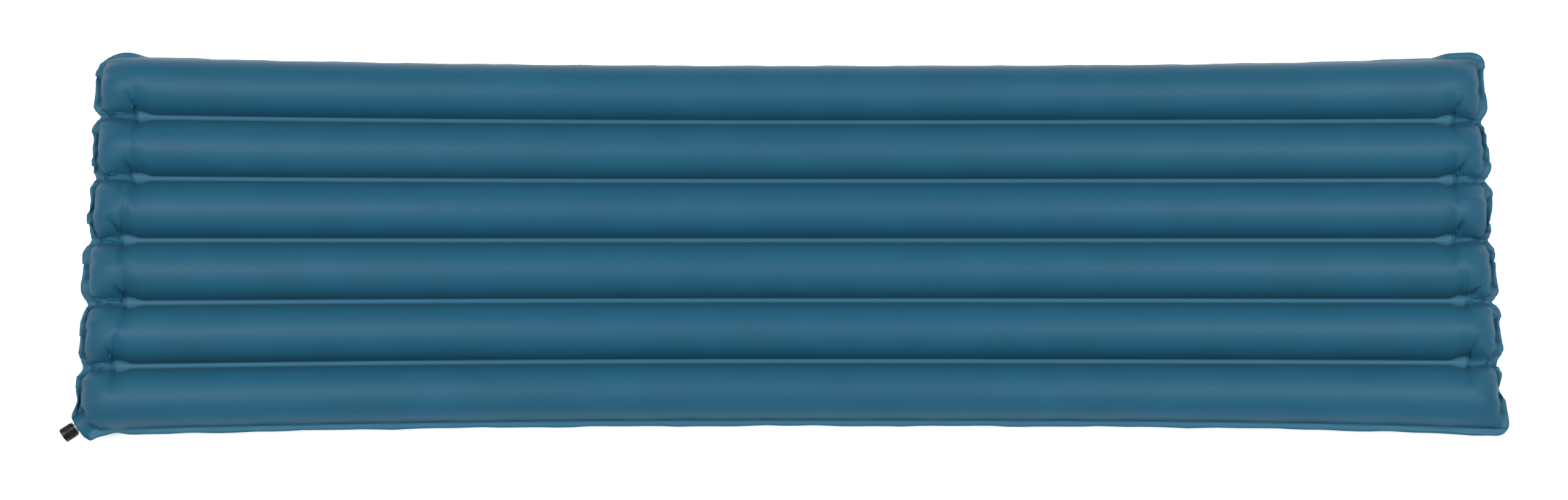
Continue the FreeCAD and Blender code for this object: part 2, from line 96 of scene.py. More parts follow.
# %% The valve's place
VALVE_JOINT = next(j for j in frame["record"]["behaviour"]["joints"] if j["name"] == "knob_turn")
VALVE_OUT = np.array([-VALVE_JOINT["axis"][0], VALVE_JOINT["axis"][1]])
VALVE_SIDE = np.array([-VALVE_OUT[1], VALVE_OUT[0]])
VALVE_EXIT = np.array([-VALVE_JOINT["pos_m"][0], VALVE_JOINT["pos_m"][1]])
VALVE_CUT = 33 * MM
BOAT_HALF = 14.5 * MM
BOAT_RISE = 6.8 * MM
BOAT_DEPTH = 26 * MM
BOAT_DROP = (BOAT_HALF ** 2 - BOAT_RISE ** 2) / (2 * BOAT_RISE)
BOAT_BOW = math.hypot(BOAT_HALF, BOAT_DROP)
BOAT_ARC = BOAT_BOW * math.asin(BOAT_HALF / BOAT_BOW)
print("lens over the foot: %.1f mm of cloth on each side of the axis" % (BOAT_ARC / MM))

# %% [markdown]
# ## Stations across the mat
# One line across the mat is described once, flat and inflated: the same stations are used for
# every row, so the whole mat is one grid. Welds get stations on both edges and in the middle.

# %% Stations
PER_TUBE = 28


def stations():
    """Flat place, inflated place and height of each station, and the number of the weld it is on.

    Tube t is an arc of ARCH about a centre DROP below the weld plane, and its flat length is the
    arc's. The welds are 0 at the near edge, 1 to 5 at the seams and 6 at the far edge.
    """
    rows = [(-FLANGE, -FLANGE, 0, 0), (-FLANGE / 2, -FLANGE / 2, 0, 0)]
    angle = np.linspace(-ARCH_ANGLE, ARCH_ANGLE, PER_TUBE + 1)
    for tube in range(TUBES):
        weld = np.full(PER_TUBE + 1, -1)
        weld[0] = tube
        weld[-1] = tube + 1
        flat = tube * (CUT + SEAM) + ARCH * (angle + ARCH_ANGLE)
        wide = tube * PITCH + CHORD / 2 + ARCH * np.sin(angle)
        high = np.maximum(ARCH * np.cos(angle) - DROP, 0)
        rows += list(zip(flat, wide, high, weld))
        if tube < TUBES - 1:
            rows.append((flat[-1] + SEAM / 2, wide[-1] + SEAM / 2, 0, tube + 1))
    flat, wide = rows[-1][:2]
    rows += [(flat + FLANGE / 2, wide + FLANGE / 2, 0, TUBES),
             (flat + FLANGE, wide + FLANGE, 0, TUBES)]
    table = np.array(rows)
    middle = (table[0] + table[-1]) / 2
    return table[:, 0] - middle[0], table[:, 1] - middle[1], table[:, 2], table[:, 3].astype(int)


FLAT_Y, WIDE_Y, HIGH_Z, WELD_NO = stations()
ON_EDGE = (WELD_NO == 0) | (WELD_NO == TUBES)
ON_SEAM = (WELD_NO > 0) & (WELD_NO < TUBES)
SEAM_FLAT = [FLAT_Y[WELD_NO == number].mean() for number in range(1, TUBES)]
SEAM_WIDE = [WIDE_Y[WELD_NO == number].mean() for number in range(1, TUBES)]
print(len(FLAT_Y), "stations across")

# %% [markdown]
# ## The flat cut of an end
# Each seam stops short of the end weld, where the press left a blunt teardrop, and every one stops
# at a slightly different place. Three corners are rounded and the valve's is cut off. Both are
# made by drawing a square corner of the grid in along rays from its inside. The same steps give
# the flat place of each point and the place that it starts from.

# %% Rows of an end
STEP = 3.8 * MM
COARSE_STEP = 10 * MM
FINE_REACH = 0.150
REACH = 0.270
ROWS = np.concatenate([[-END_FLANGE, -2 * END_FLANGE / 3, -END_FLANGE / 3],
                       np.arange(0, FINE_REACH, STEP), np.arange(FINE_REACH, REACH, COARSE_STEP)])
TEAR_LENGTH = 26 * MM
TEAR_WIDTH = 5 * MM
print(len(ROWS), "rows in each end")


# %% Teardrops and corners
def tear(inward, stop):
    """How much wider each half of a weld is near its end: nothing at the end itself, most a quarter
    of the way along the teardrop, and nothing again at its far point."""
    past = np.clip((inward - stop) / TEAR_LENGTH, 0, 1)
    return TEAR_WIDTH * np.sin(np.pi * np.sqrt(past))


def part_at(line, middle, bulge, span):
    """Move stations away from a seam by bulge, fading to nothing one span away."""
    off = line - middle
    fade = np.clip(1 - (np.abs(off) - SEAM / 2) / span, 0, 1)
    return np.sign(off) * (np.abs(off) > SEAM / 4) * bulge * fade


def draw_in(x, y, tip, reach, outline):
    """Draw a square corner in to another outline.

    a and b run from 0 inside to 1 at the two edges. A point moves along its ray from the inside by
    the outline's share of the square's reach, and less the further in it lies.
    """
    a = np.clip(1 - np.abs(x - tip[0]) / reach[0], 0, 1)
    b = np.clip(1 - np.abs(y - tip[1]) / reach[1], 0, 1)
    near = (a > 0) & (b > 0)
    most = np.where(near, np.maximum(a, b), 1)
    share = 1 + (outline(a, b, most) - 1) * most ** 2
    new_x = tip[0] - np.sign(tip[0]) * reach[0] * (1 - a * share)
    new_y = tip[1] - np.sign(tip[1]) * reach[1] * (1 - b * share)
    return np.where(near, new_x, x), np.where(near, new_y, y)


def round_outline(a, b, most):
    """A quarter circle: the larger of the two over the length of the ray."""
    return most / np.maximum(np.hypot(a, b), 1e-9)


# The cut corner's block is this many times as large as the piece cut off it.
CUT_BLOCK = 2.2


def straight_outline(a, b, most):
    """A straight cut from one edge to the other, and the square's own edge beside it."""
    return np.minimum(1, (2 - 1 / CUT_BLOCK) * most / np.maximum(a + b, 1e-9))


print("teardrop: %.0f mm long, %.0f mm wider than the seam" % (
    TEAR_LENGTH / MM, 2 * TEAR_WIDTH / MM))

# %% The flat cut
# How much of the cloth beside a teardrop moves with it, and how much of a corner's tip is held.
TEAR_SPAN = 0.45 * CUT
TIP_SHARE = 0.6
# The cloth is held this far beside the foot, and the opening goes this far past it.
HELD_BESIDE = 4 * MM
SLEEVE_PAST = 12 * MM


def shape_corners(x, y, tip, corner, has_valve):
    """Round the far corner, and round the near one or cut it off for the valve."""
    x, y = draw_in(x, y, tip, (corner, corner), round_outline)
    near_tip = (tip[0], -tip[1])
    if has_valve:
        legs = VALVE_CUT * np.abs(VALVE_OUT[::-1])
        return draw_in(x, y, near_tip, legs * CUT_BLOCK, straight_outline)
    return draw_in(x, y, near_tip, (corner, corner), round_outline)


def flat_cut(seam_ends, corner, has_valve):
    """Flat grid of one end, how far in each point is, what is welded and which corners are held."""
    x, y = np.meshgrid(FLAT_HALF - END_FLANGE - ROWS, FLAT_Y, indexing="ij")
    inward = np.broadcast_to(ROWS[:, None], x.shape)
    stops = np.zeros(len(FLAT_Y))
    stops[ON_SEAM] = np.array(seam_ends)[WELD_NO[ON_SEAM] - 1]
    closed = ON_EDGE[None, :] | (inward <= 0) | (ON_SEAM[None, :] & (inward >= stops[None, :]))
    for middle, stop in zip(SEAM_FLAT, seam_ends):
        y = y + part_at(FLAT_Y[None, :], middle, tear(inward, stop), TEAR_SPAN)
    tip = np.array([FLAT_HALF, FLAT_WIDTH / 2])
    x, y = shape_corners(x, y, tip, corner, has_valve)
    tips = np.zeros(x.shape, bool)
    for side in ((1,) if has_valve else (1, -1)):
        arm = np.hypot(np.clip(x - tip[0] + corner, 0, None),
                       np.clip(side * y - tip[1] + corner, 0, None))
        closed = closed | (arm > corner - FLANGE)
        inside = np.maximum(tip[0] - x, tip[1] - side * y)
        tips = tips | ((inside < TIP_SHARE * corner) & (arm > corner - FLANGE))
    return x, y, inward, closed, tips


def valve_places(x, y):
    """Where the cloth is round the valve's foot, and which of its points are open and held.

    across and depth are measured in the flat from the middle of the cut edge. Over the foot the
    cloth follows an arc of BOAT_BOW; beyond it the two sheets are welded flat.
    """
    tip = np.array([FLAT_HALF, -FLAT_WIDTH / 2])
    exit_flat = tip + VALVE_EXIT - np.array([HALF_LENGTH, -HALF_WIDTH])
    across = (x - exit_flat[0]) * VALVE_SIDE[0] + (y - exit_flat[1]) * VALVE_SIDE[1]
    depth = -(x - exit_flat[0]) * VALVE_OUT[0] - (y - exit_flat[1]) * VALVE_OUT[1]
    over = np.abs(across) < BOAT_ARC
    angle = np.clip(across, -BOAT_ARC, BOAT_ARC) / BOAT_BOW
    side = BOAT_BOW * np.sin(angle) + np.sign(across) * np.clip(np.abs(across) - BOAT_ARC, 0, None)
    high = np.where(over, BOAT_BOW * np.cos(angle) - BOAT_DROP, 0)
    place_x = VALVE_EXIT[0] + side * VALVE_SIDE[0] - depth * VALVE_OUT[0]
    place_y = VALVE_EXIT[1] + side * VALVE_SIDE[1] - depth * VALVE_OUT[1]
    held = (depth < BOAT_DEPTH) & (np.abs(across) < BOAT_ARC + HELD_BESIDE)
    sleeve = over & (depth < BOAT_DEPTH + SLEEVE_PAST)
    shut = (depth < BOAT_DEPTH) & ~over
    return np.stack([place_x, place_y, high], -1), held, sleeve, shut


print("valve's corner: cut off over %.0f mm" % (VALVE_CUT / MM))


# %% [markdown]
# ## Blowing the ends up
# The folds at the seam ends and the crinkled edge come from one thing: the flat cloth is longer
# than the inflated outline, so it has to pucker. Carving that by hand looks carved. Cloth with
# pressure finds it by itself, when its rest shape is the flat cut and both sheets share their
# points wherever they are welded. The long seams are held where they belong, and the ends are
# free.

# %% How wide the mat is along its length
def widen(along, wide, spread):
    """Factor by which a station moves out: spread at the ends for the seams, growing with the
    square of the distance from the middle of the mat, and more for the edges, growing with that
    distance's fourth power and with the sixth power of the place across."""
    share = (along / HALF_LENGTH) ** 2
    more = (FLARE / HALF_MIDDLE - spread) * np.abs(wide / HALF_MIDDLE) ** 6
    return 1 + spread * share + more * share ** 2


print("half width: %.1f mm at mid length, %.1f mm at the ends" % (
    HALF_MIDDLE / MM, HALF_MIDDLE * widen(HALF_LENGTH, HALF_MIDDLE, 0) / MM))

# %% The shape that the cloth starts from
PLEAT_WIDTH = 9 * MM
PLEAT_DROP = 8 * MM
NOTCH = 9 * MM
BRIDGE = 9 * MM
BRIDGE_MARGIN = 28 * MM
# How far from the end weld the cut's extra length, the tubes' taper and the crinkle reach.
EXTRA_OVER = 80 * MM
TAPER_OVER = 55 * MM
CRINKLE_OVER = 50 * MM
CRINKLE = 1.2 * MM
CRINKLE_LENGTHS = (41 * MM, 27 * MM, 18 * MM)
# The far flange hangs at this angle, and comes up flat this far before the end, over this length.
HANG = math.radians(62)
LIFT_BEFORE = 75 * MM
LIFT_OVER = 32 * MM
# Waves of the side flange: height, radians per metre, and multiple of the side's phase.
DRIFT_WAVES = ((0.5 * MM, 31, 1), (0.4 * MM, 83, 2))
LIFT_WAVES = ((1.0 * MM, 57, 3), (0.7 * MM, 131, 1))
FAR_PHASE, NEAR_PHASE = 1.3, 4.1
# 1 at the outer line of the side flange, 0 at its weld's inner edge and everywhere inside
SIDE = np.clip((np.abs(WIDE_Y) - (HALF_MIDDLE - FLANGE)) / FLANGE, 0, 1)


def wave_sum(waves, along, phase):
    """Sum of sines along the mat."""
    return sum(height * np.sin(along * rate + times * phase) for height, rate, times in waves)


def ripple(along, side):
    """How the side flange lies: outwards and up, from a flat one.

    It wavers as a sum of slow waves along the mat. The far one hangs down, turned by HANG about its
    weld, and comes up flat over the last stretch before each corner.
    """
    phase = np.where(side > 0, FAR_PHASE, NEAR_PHASE)
    drift = wave_sum(DRIFT_WAVES, along, phase)
    lift = wave_sum(LIFT_WAVES, along, phase)
    flat = np.clip((along - HALF_LENGTH + LIFT_BEFORE) / LIFT_OVER, 0, 1)
    turn = np.where(side > 0, HANG * (1 - flat * flat * (3 - 2 * flat)), 0)
    drift = drift * np.cos(turn) - FLANGE * (1 - np.cos(turn))
    return side * drift, lift - FLANGE * np.sin(turn)


def start_shape(y, inward, closed, seam_ends, spread, corner, seed, has_valve):
    """Arches that taper to the end weld in a quarter circle, with a low bridge past each seam.

    A pleat runs from the end of each seam to the end weld, drawn in and down, and the loose flange
    between the pleats starts with a few small waves.
    """
    shift = (FLAT_HALF - HALF_LENGTH) * np.clip(1 - inward / EXTRA_OVER, 0, 1)
    along = np.broadcast_to((FLAT_HALF - END_FLANGE - ROWS)[:, None], inward.shape) - shift
    wide = np.broadcast_to(WIDE_Y, inward.shape)
    pleat = np.zeros(inward.shape)
    for middle, stop in zip(SEAM_WIDE, seam_ends):
        wide = wide + part_at(WIDE_Y[None, :], middle, tear(inward, stop), CHORD)
        narrow = np.exp(-((WIDE_Y[None, :] - middle) / PLEAT_WIDTH) ** 2)
        pleat = pleat + narrow * np.clip(1 - np.maximum(inward, 0) / stop, 0, 1)
    wide = wide * widen(along, wide, spread)
    along, wide = shape_corners(along, wide, (HALF_LENGTH, HALF_WIDTH), corner, has_valve)
    taper = np.clip(inward / TAPER_OVER, 0, 1)
    high = HIGH_Z[None, :] * np.sqrt(1 - (1 - taper) ** 2)
    stop = np.interp(WIDE_Y, SEAM_WIDE, seam_ends)[None, :]
    bridge = BRIDGE * np.sqrt(np.clip(1 - (2 * inward / stop - 1) ** 2, 0, 1))
    bridge = bridge * (np.abs(WIDE_Y) < HALF_MIDDLE - BRIDGE_MARGIN)
    high = np.where(closed, 0, np.maximum(high, bridge))
    random = np.random.default_rng(seed)
    wave = np.zeros(inward.shape)
    for length in CRINKLE_LENGTHS:
        wave = wave + CRINKLE * np.sin(2 * np.pi * y / length + random.uniform(0, 2 * np.pi))
    wave = wave * np.clip(1 - inward / CRINKLE_OVER, 0, 1) * (1 - SIDE) - PLEAT_DROP * pleat
    along = along - NOTCH * pleat
    drift, lift = ripple(along, np.sign(wide))
    wide = wide + SIDE * drift
    wave = wave + SIDE * lift
    return np.stack([along, wide, wave + high], -1), np.stack([along, wide, wave - high], -1)


print("the far flange hangs at %.0f degrees" % math.degrees(HANG))

# %% Quads of a grid
def quads_of(index):
    """The four corners of every cell of a grid of point numbers. They go anticlockwise seen from
    above where the rows run to +X and the columns to +Y."""
    corners = [index[:-1, :-1], index[1:, :-1], index[1:, 1:], index[:-1, 1:]]
    return np.stack(corners, -1).reshape(-1, 4)


print("a grid of 3 by 3 points has", len(quads_of(np.arange(9).reshape(3, 3))), "quads")


# %% The simulation
FRAMES = 28
PRESSURE = 300.0
HOLD_LEVELS = 8
print("cloth: %d frames for each end" % FRAMES)


def blow_up(start, flat, faces, hold):
    """Run Cloth on one end and return where its points come to lie."""
    mesh = bpy.data.meshes.new("end_cloth")
    mesh.from_pydata(start.tolist(), [], faces.tolist())
    cloth = bpy.data.objects.new("end_cloth", mesh)
    bpy.context.collection.objects.link(cloth)
    held = cloth.vertex_groups.new(name="held")
    for level in range(1, HOLD_LEVELS + 1):
        chosen = np.nonzero(np.round(hold * HOLD_LEVELS) == level)[0]
        held.add(chosen.tolist(), level / HOLD_LEVELS, "REPLACE")
    cloth.shape_key_add(name="Basis")
    key = cloth.shape_key_add(name="Flat")
    key.data.foreach_set("co", flat.ravel())
    modifier = cloth.modifiers.new("air", "CLOTH")
    rule = modifier.settings
    rule.rest_shape_key = key
    rule.vertex_group_mass = "held"
    rule.quality = 5
    rule.mass = 0.001
    rule.tension_stiffness = 80
    rule.compression_stiffness = 20
    rule.shear_stiffness = 20
    rule.bending_stiffness = 0.02
    rule.tension_damping = 5
    rule.compression_damping = 5
    rule.shear_damping = 5
    rule.bending_damping = 0.5
    rule.air_damping = 1
    rule.use_pressure = True
    rule.uniform_pressure_force = PRESSURE
    rule.effector_weights.gravity = 0
    modifier.collision_settings.use_collision = False
    modifier.point_cache.frame_start = 1
    modifier.point_cache.frame_end = FRAMES
    for step in range(1, FRAMES + 1):
        bpy.context.scene.frame_set(step)
    settled = cloth.evaluated_get(bpy.context.evaluated_depsgraph_get()).to_mesh()
    points = np.empty(len(start) * 3, np.float32)
    settled.vertices.foreach_get("co", points)
    bpy.context.scene.frame_set(1)
    bpy.data.objects.remove(cloth)
    bpy.data.meshes.remove(mesh)
    return points.reshape(-1, 3).astype(float)


# %% [markdown]
# ## Creases
# From the end of every seam a sharp crease runs out and across into the next tube. A fold goes on
# to the edge, where the cloth of two tubes is crowded into one, and a shallow crease runs out on
# the seam's other side. They are narrower than the grid that the simulation can afford, so they
# are pressed into its result.

# %% Pressing a crease
CREASE_WIDTH = 3.4 * MM
CREASE_DEPTH = 7 * MM
FOLD_DEPTH = 5 * MM
SHALLOW_DEPTH = 3 * MM
# The shallow crease runs this far out and back, as shares of the sharp one's run across.
SHALLOW_RUN = np.array([0.8, -0.4])


def downward(points):
    """Unit normals of a grid whose rows run to -X and columns to +Y, pointing down."""
    normal = np.cross(np.gradient(points, axis=0), np.gradient(points, axis=1))
    return normal / np.maximum(np.linalg.norm(normal, axis=-1, keepdims=True), 1e-12)


def press(points, start, run, depth):
    """Depth of a crease at each point: a bell across its line, rising fast and fading slowly."""
    length = math.hypot(run[0], run[1])
    off = points[..., :2] - start[:2]
    t = (off[..., 0] * run[0] + off[..., 1] * run[1]) / length ** 2
    side = (off[..., 0] * run[1] - off[..., 1] * run[0]) / length
    return depth * np.exp(-(side / CREASE_WIDTH) ** 2) * np.sin(np.pi * np.clip(t, 0, 1) ** 0.6)


def add_creases(points, closed, seam_ends, creases, face):
    """Press the creases into one sheet. face is -1 for the upper sheet and 1 for the lower."""
    depth = np.zeros(closed.shape)
    for number, (stop, (out, up)) in enumerate(zip(seam_ends, creases), 1):
        column = np.nonzero(WELD_NO == number)[0][1]
        tip = points[np.searchsorted(ROWS, stop), column]
        edge = points[np.searchsorted(ROWS, 0), column]
        for run, most in (((out, up), CREASE_DEPTH), ((edge - tip)[:2], FOLD_DEPTH),
                          (SHALLOW_RUN * up, SHALLOW_DEPTH)):
            depth = np.maximum(depth, press(points, tip, run, most))
    depth = np.where(closed, 0, depth)
    return points - (face * depth)[..., None] * downward(points)


print("creases: %.0f, %.0f and %.0f mm deep" % (
    CREASE_DEPTH / MM, FOLD_DEPTH / MM, SHALLOW_DEPTH / MM))

# %% [markdown]
# ## The tab at the valve
# The cut corner is a tab that the foot is welded into. Its lower point stands out past the flange,
# and the flange next to it is drawn in by a small tuck.

# %% Shaping the tab
TAB_OUT = 8 * MM
TAB_SPAN = 15 * MM
# The push grows from nothing at the foot's edge to all of it over this length.
FOOT_MARGIN = 1.5 * MM
TUCK_IN = 5 * MM
TUCK_SPAN = 13 * MM
TUCK_FROM_TAB = 42 * MM


def shape_tab(points):
    """Push the tab's lower point out and draw the flange in beside it, both as bells. The cloth
    over the foot stays where it is."""
    point = VALVE_EXIT - VALVE_CUT / 2 * VALVE_SIDE
    off = points[..., :2] - VALVE_EXIT
    across = off @ VALVE_SIDE
    reach = np.linalg.norm(points[..., :2] - point, axis=-1)
    past_foot = np.clip((-across - BOAT_HALF) / FOOT_MARGIN, 0, 1)
    push = TAB_OUT * np.exp(-(reach / TAB_SPAN) ** 2) * past_foot
    tuck_at = point[0] - TUCK_FROM_TAB
    near = SIDE * (WELD_NO == 0)
    tuck = TUCK_IN * near * np.exp(-((points[..., 0] - tuck_at) / TUCK_SPAN) ** 2)
    moved = points.copy()
    moved[..., :2] -= push[..., None] * VALVE_SIDE
    moved[..., 1] += tuck
    moved[..., 2] -= tuck
    return moved


print("tab: pushed out by up to %.0f mm" % (TAB_OUT / MM))

# %% One end, from flat cut to finished points
# A seam is held from this far past its end. The side edges go from free to held over a stretch.
HOLD_PAST = 30 * MM
GLIDE_FROM = 20 * MM
GLIDE_OVER = 40 * MM


def inflated_end(seam_ends, spread, corner, creases, seed, has_valve):
    """Upper and lower grids of one end, with their flat places and welds. The end points to +X."""
    x, y, inward, closed, tips = flat_cut(seam_ends, corner, has_valve)
    stops = np.full(len(FLAT_Y), REACH)
    stops[ON_SEAM] = np.array(seam_ends)[WELD_NO[ON_SEAM] - 1]
    hold = np.where(inward >= stops[None, :] + HOLD_PAST, 1.0, 0.0)
    hold[-2:] = 1
    glide = np.clip((inward - GLIDE_FROM) / GLIDE_OVER, 0, 1)
    hold = np.where(ON_EDGE[None, :], np.maximum(hold, glide * glide * (3 - 2 * glide)), hold)
    hold = np.where(tips, 1.0, hold)
    if has_valve:
        places, held, sleeve, shut = valve_places(x, y)
        closed = (closed | shut) & ~sleeve
    upper, lower = start_shape(y, inward, closed, seam_ends, spread, corner, seed, has_valve)
    if has_valve:
        upper = np.where(held[..., None], places, upper)
        lower = np.where(held[..., None], places * [1, 1, -1], lower)
        hold = np.where(held, 1.0, hold)
    upper_no = np.arange(x.size).reshape(x.shape)
    lower_no = upper_no.copy()
    lower_no[~closed] = x.size + np.arange(np.count_nonzero(~closed))
    total = x.size + np.count_nonzero(~closed)
    start = np.zeros((total, 3))
    flat = np.zeros((total, 3))
    weight = np.zeros(total)
    for number, points in ((lower_no, lower), (upper_no, upper)):
        start[number.ravel()] = points.reshape(-1, 3)
        flat[number.ravel(), 0] = x.ravel()
        flat[number.ravel(), 1] = y.ravel()
        weight[number.ravel()] = hold.ravel()
    # the rows run inwards, against +X, so it is the upper sheet's quads that are turned here
    upper_quads = quads_of(upper_no)[:, ::-1]
    lower_quads = quads_of(lower_no)
    shared = np.all(np.sort(upper_quads, 1) == np.sort(lower_quads, 1), axis=1)
    faces = np.concatenate([upper_quads, lower_quads[~shared]])
    start = blow_up(start, flat, faces, weight)
    print("end: %d points, x to %.4f, y %.4f..%.4f, z %.4f..%.4f" % (
        total, start[:, 0].max(), start[:, 1].min(), start[:, 1].max(),
        start[:, 2].min(), start[:, 2].max()))
    above = add_creases(start[upper_no], closed, seam_ends, creases, -1)
    below = add_creases(start[lower_no], closed, seam_ends, creases, 1)
    if has_valve:
        above, below = shape_tab(above), shape_tab(below)
    return above, below, np.stack([x, y], -1), closed


# %% Both ends
# How far each seam stops from the end weld, from the valve's side to the far side.
LEFT_STOPS = [51 * MM, 61 * MM, 51 * MM, 64 * MM, 61 * MM]
RIGHT_STOPS = [48 * MM, 44 * MM, 60 * MM, 51 * MM, 48 * MM]
LEFT_SPREAD = 0.050
RIGHT_SPREAD = 0.012
LEFT_CORNER = 46 * MM
RIGHT_CORNER = 22 * MM
# How far each crease runs, outwards and across the mat.
LEFT_CREASES = np.array([(11, 24), (15, 20), (20, 29), (12, 22), (15, 31)]) * MM
RIGHT_CREASES = np.array([(11, 29), (26, 19), (15, 24), (21, 27), (14, 28)]) * MM
left_end = inflated_end(LEFT_STOPS, LEFT_SPREAD, LEFT_CORNER, LEFT_CREASES, 11, True)
right_end = inflated_end(RIGHT_STOPS, RIGHT_SPREAD, RIGHT_CORNER, RIGHT_CREASES, 5, False)

# %% [markdown]
# ## The long middle
# Between the ends nothing puckers, so the tubes are plain arches that spread a little towards the
# ends. They use the same stations, so the three grids join without a step.

# %% The middle grid
MIDDLE_STEP = 20 * MM


def middle_grid():
    """Rows of plain arches between the two ends, about MIDDLE_STEP apart."""
    limit = FLAT_HALF - END_FLANGE - ROWS[-1]
    count = int(round(2 * limit / MIDDLE_STEP))
    x = np.linspace(-limit, limit, count + 1)[1:-1]
    along, wide = np.meshgrid(x, WIDE_Y, indexing="ij")
    spread = np.where(along < 0, LEFT_SPREAD, RIGHT_SPREAD)
    wide = wide * widen(along, wide, spread)
    drift, lift = ripple(np.abs(along), np.sign(wide))
    wide = wide + SIDE * drift
    lift = SIDE * lift
    closed = np.broadcast_to(ON_EDGE | ON_SEAM, along.shape)
    flat = np.stack(np.meshgrid(x, FLAT_Y, indexing="ij"), -1)
    above = np.stack([along, wide, lift + HIGH_Z], -1)
    below = np.stack([along, wide, lift - HIGH_Z], -1)
    return above, below, flat, closed


MIRROR = np.array([-1, 1, 1])
middle = middle_grid()
upper = np.concatenate([left_end[0] * MIRROR, middle[0], right_end[0][::-1]])
lower = np.concatenate([left_end[1] * MIRROR, middle[1], right_end[1][::-1]])
flat_place = np.concatenate([left_end[2] * MIRROR[:2], middle[2], right_end[2][::-1]])
welded = np.concatenate([left_end[3], middle[3], right_end[3][::-1]])
upper = upper + [0, 0, WELD_Z]
lower = lower + [0, 0, WELD_Z]
# The mat lies on the floor, so its lower sheet is pressed flat there.
lower[..., 2] = np.maximum(lower[..., 2], FABRIC)
print("whole mat:", upper.shape[0], "rows of", upper.shape[1])


# %% [markdown]
# ## Colours and nodes
# Colours are given as on a paint chart and turned to the linear values that the renderer works
# with. One helper adds a node, sets it and links it.

# %% Helpers for materials
def linear(code):
    """sRGB hex to linear: a straight line near black, a power of 2.4 above it."""
    parts = np.array([int(code[i:i + 2], 16) / 255 for i in (1, 3, 5)])
    curved = ((parts + 0.055) / 1.055) ** 2.4
    return (*np.where(parts <= 0.04045, parts / 12.92, curved).tolist(), 1.0)


def add(material, kind, settings=None, values=None, links=None):
    """Add a node. values go on its inputs; links maps an input to another node's output."""
    node = material.node_tree.nodes.new(kind)
    for name, setting in (settings or {}).items():
        setattr(node, name, setting)
    for name, number in (values or {}).items():
        node.inputs[name].default_value = number
    for name, source in (links or {}).items():
        material.node_tree.links.new(source, node.inputs[name])
    return node


def new_material(name, **sockets):
    """A material with one Principled shader, whose constants are set on its own sockets."""
    material = bpy.data.materials.new(name)
    material.use_nodes = True
    shader = material.node_tree.nodes["Principled BSDF"]
    for socket, number in sockets.items():
        shader.inputs[socket.replace("_", " ")].default_value = number
    return material, shader


print("mid grey #808080 is", round(linear("#808080")[0], 3), "in linear light")

# %% [markdown]
# ## Coated polyester
# The cloth is a woven polyester laminated inside with TPU. Its face is satin, with a wide soft
# highlight that shows the zigzag lines of the weave. Heat and pressure flatten the cloth in the
# welds, so they look a little paler. The weave follows the cloth, so it is laid out on the flat
# cut, which is the piece's UV map.

# %% Coated polyester
# Millimetres along the cloth for one zigzag, millimetres across from line to line, and the slope.
ZIGZAG_LONG = 7.0
ZIGZAG_WIDE = 3.4
ZIGZAG_SLOPE = 0.6


def coated_polyester():
    """Zigzag lines: a sine across the cloth, moved to and fro along it by a triangle wave."""
    material, shader = new_material(
        "coated_polyester", Roughness=0.55, IOR=1.45, Specular_IOR_Level=0.24,
        Sheen_Weight=0.02, Sheen_Roughness=0.5)
    link = material.node_tree.links.new
    flat = add(material, "ShaderNodeUVMap", {"uv_map": "flat_cut"})
    across = 2 * math.pi / ZIGZAG_WIDE
    figure = add(material, "ShaderNodeMapping", values={"Scale": (1 / MM, across / MM, 1)},
                 links={"Vector": flat.outputs["UV"]})
    parts = add(material, "ShaderNodeSeparateXYZ", links={"Vector": figure.outputs["Vector"]})
    triangle = add(material, "ShaderNodeMath", {"operation": "PINGPONG"},
                   values={1: ZIGZAG_LONG / 2}, links={0: parts.outputs["X"]})
    phase = add(material, "ShaderNodeMath", {"operation": "MULTIPLY_ADD"},
                values={1: ZIGZAG_SLOPE * across},
                links={0: triangle.outputs["Value"], 2: parts.outputs["Y"]})
    line = add(material, "ShaderNodeMath", {"operation": "SINE"},
               links={0: phase.outputs["Value"]})
    # threads of 0.5 mm are drawn 1.2 mm coarse, so that they show
    thread = add(material, "ShaderNodeTexNoise", values={"Scale": 1 / (1.2 * MM), "Detail": 2},
                 links={"Vector": flat.outputs["UV"]})
    cloud = add(material, "ShaderNodeTexNoise", values={"Scale": 1 / (90 * MM), "Detail": 3},
                links={"Vector": flat.outputs["UV"]})
    weld = add(material, "ShaderNodeAttribute", {"attribute_name": "weld"})
    pressed = add(material, "ShaderNodeMapRange", values={"From Min": 0.8, "From Max": 0.95},
                  links={"Value": weld.outputs["Fac"]})
    tint = add(material, "ShaderNodeMix", {"data_type": "RGBA"},
               values={"A": linear("#13465D"), "B": linear("#175068")},
               links={"Factor": cloud.outputs["Fac"]})
    lift = add(material, "ShaderNodeMapRange",
               values={"From Min": -1, "From Max": 1, "To Min": 0.93, "To Max": 1.07},
               links={"Value": line.outputs["Value"]})
    shaded = add(material, "ShaderNodeHueSaturation",
                 links={"Color": tint.outputs["Result"], "Value": lift.outputs["Result"]})
    colour = add(material, "ShaderNodeMix", {"data_type": "RGBA"}, values={"B": linear("#27586F")},
                 links={"Factor": pressed.outputs["Result"], "A": shaded.outputs["Color"]})
    rough = add(material, "ShaderNodeMapRange",
                values={"From Min": -1, "From Max": 1, "To Min": 0.6, "To Max": 0.48},
                links={"Value": line.outputs["Value"]})
    height = add(material, "ShaderNodeMath", {"operation": "MULTIPLY_ADD"}, values={1: 0.35},
                 links={0: thread.outputs["Fac"], 2: line.outputs["Value"]})
    bump = add(material, "ShaderNodeBump", values={"Strength": 0.25, "Distance": 0.12 * MM},
               links={"Height": height.outputs["Value"]})
    link(colour.outputs["Result"], shader.inputs["Base Color"])
    link(rough.outputs["Result"], shader.inputs["Roughness"])
    link(bump.outputs["Normal"], shader.inputs["Normal"])
    return material


FABRIC_FINISH = coated_polyester()
print("material:", FABRIC_FINISH.name)

